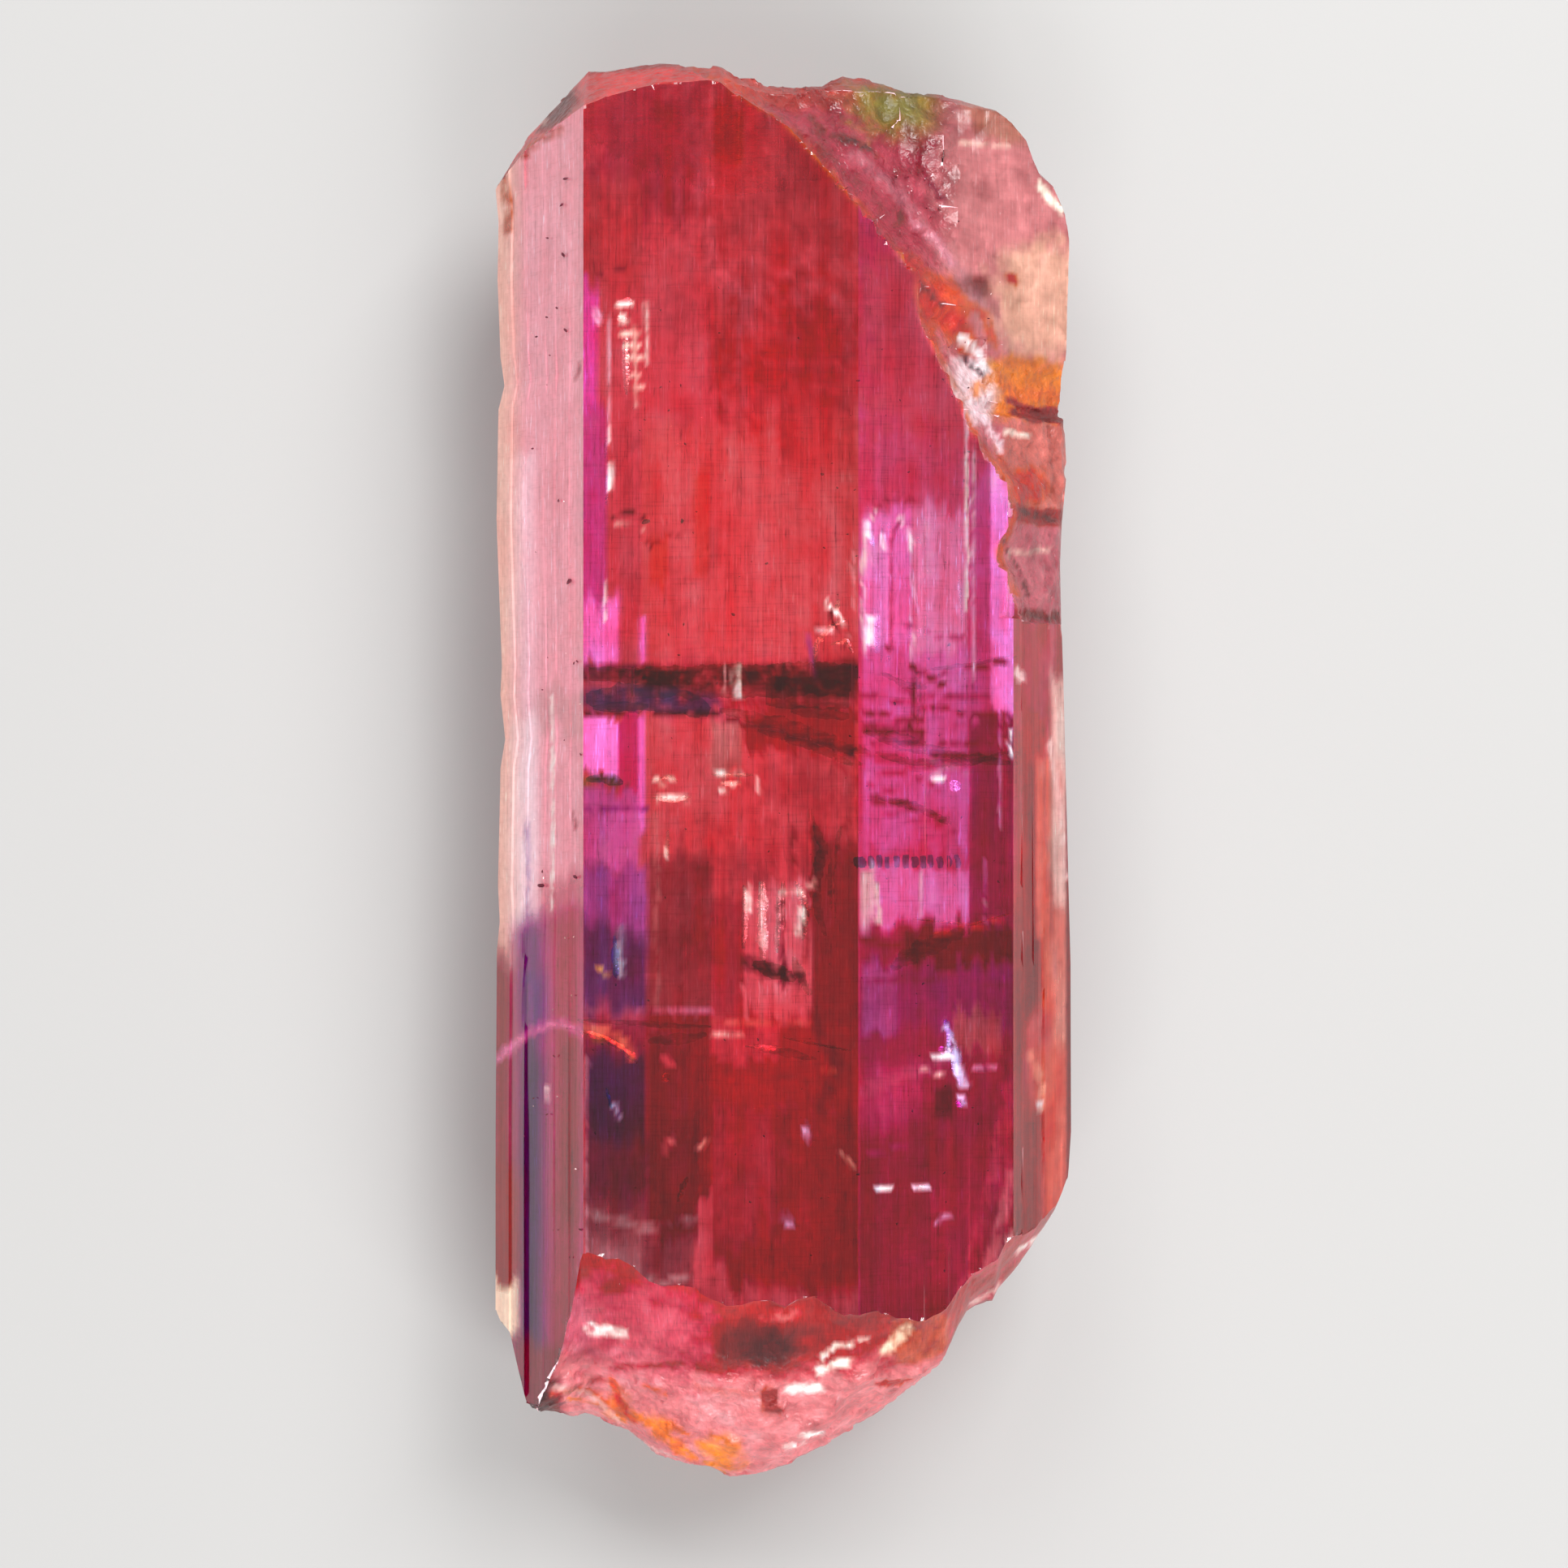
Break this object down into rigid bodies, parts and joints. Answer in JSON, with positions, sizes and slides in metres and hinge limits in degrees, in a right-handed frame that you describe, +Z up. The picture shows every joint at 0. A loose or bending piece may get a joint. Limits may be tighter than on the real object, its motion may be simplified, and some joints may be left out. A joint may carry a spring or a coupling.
{
  "type": "imperial topaz crystal",
  "caption": "Transparent rose-red striated prismatic crystal with a bevelled point, a chipped frosted shoulder and a rough broken base, lying on one long face.",
  "frame": {"origin": "middle of the crystal's footprint, at the long face that it rests on", "axes": "+Y along the crystal, from the broken base to the bevelled point; +X to the chipped side, as the picture shows it; +Z up, out of the pictured face"},
  "size_m": [0.0142, 0.0347, 0.0096],
  "materials": {
    "rose_topaz": "clear rose-red to magenta topaz with fine striations along its length; frosted and iron-stained on the broken surfaces"
  },
  "bodies": {
    "root": {"topaz_crystal": "rose_topaz"}
  },
  "joints": []
}
